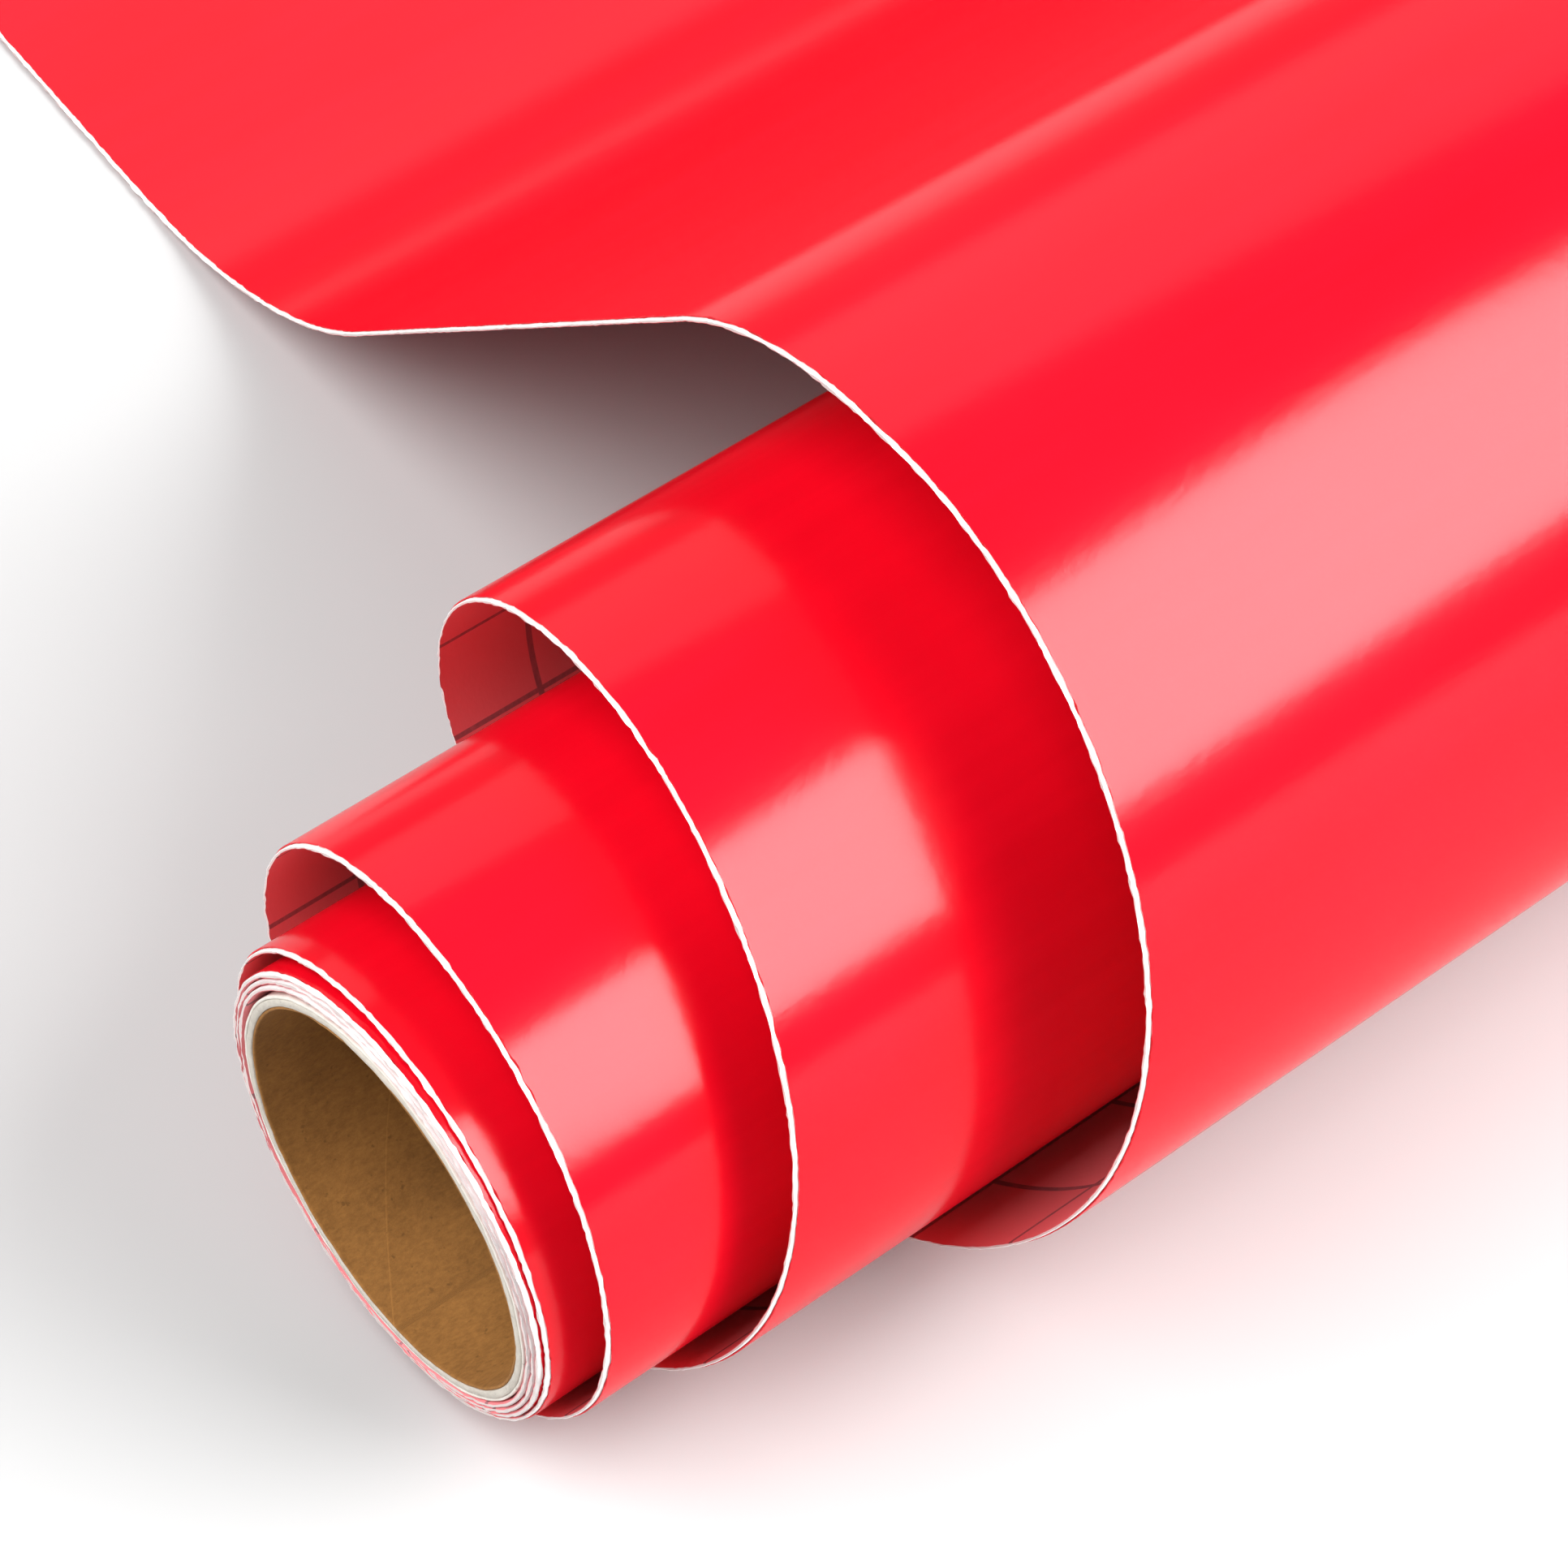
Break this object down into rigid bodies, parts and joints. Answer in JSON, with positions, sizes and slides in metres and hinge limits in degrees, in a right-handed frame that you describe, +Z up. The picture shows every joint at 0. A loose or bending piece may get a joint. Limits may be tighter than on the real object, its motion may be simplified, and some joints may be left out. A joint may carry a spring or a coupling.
{
  "type": "roll of sign vinyl",
  "caption": "Loosened roll of red self-adhesive sign vinyl on a paperboard core, its turns telescoped along the core and its free end lying flat behind it.",
  "frame": {"origin": "middle of the part's outline, on the table that it lies on", "axes": "+X along the core from the end that shows the core towards the deep end, +Y from the roll towards the sheet's free end, +Z up"},
  "size_m": [0.3768, 0.2336, 0.074],
  "materials": {
    "red_vinyl": "gloss",
    "release_paper": "matte",
    "kraft_paper": "matte",
    "grey_board": "matte",
    "pale_paper": "matte",
    "tape": "satin"
  },
  "bodies": {
    "core_and_tight_turns": {"core_kraft_lining": "kraft_paper", "core_grey_board": "grey_board", "core_outer_wrap": "pale_paper", "start_tape": "tape", "tight_1_liner": "release_paper", "tight_1_film": "red_vinyl", "tight_2_liner": "release_paper", "tight_2_film": "red_vinyl", "tight_3_liner": "release_paper", "tight_3_film": "red_vinyl"},
    "first_slack_turn": {"slack_1_liner": "release_paper", "slack_1_film": "red_vinyl"},
    "second_slack_turn": {"slack_2_liner": "release_paper", "slack_2_film": "red_vinyl"},
    "third_slack_turn": {"slack_3_liner": "release_paper", "slack_3_film": "red_vinyl"},
    "last_turn": {"slack_4_liner": "release_paper", "slack_4_film": "red_vinyl"},
    "leaf": {"leaf_liner": "release_paper", "leaf_film": "red_vinyl"},
    "peel_tab": {"peel_tab_film": "red_vinyl"}
  },
  "joints": [
    {"name": "first_turn_slide", "type": "slide", "parent": "core_and_tight_turns", "child": "first_slack_turn", "axis": [1, 0, 0], "range_m": [-0.0015, 0.0006]},
    {"name": "second_turn_slide", "type": "slide", "parent": "first_slack_turn", "child": "second_slack_turn", "axis": [1, 0, 0], "range_m": [-0.004, 0.0016]},
    {"name": "third_turn_slide", "type": "slide", "parent": "second_slack_turn", "child": "third_slack_turn", "axis": [1, 0, 0], "range_m": [-0.015, 0.006]},
    {"name": "last_turn_slide", "type": "slide", "parent": "third_slack_turn", "child": "last_turn", "axis": [1, 0, 0], "range_m": [-0.02, 0.008]},
    {"name": "leaf_lift", "type": "hinge", "parent": "last_turn", "child": "leaf", "pos_m": [0, 0.00812, 0.01707], "axis": [1, 0, 0], "range_deg": [0, 60]},
    {"name": "film_peel", "type": "hinge", "parent": "leaf", "child": "peel_tab", "pos_m": [0, 0.09177, 0.00045], "axis": [1, 0, 0], "range_deg": [0, 110]}
  ],
  "couplings": [
    {"joint": "first_turn_slide", "follows": "last_turn_slide", "ratio": 0.075},
    {"joint": "second_turn_slide", "follows": "last_turn_slide", "ratio": 0.2},
    {"joint": "third_turn_slide", "follows": "last_turn_slide", "ratio": 0.75}
  ]
}
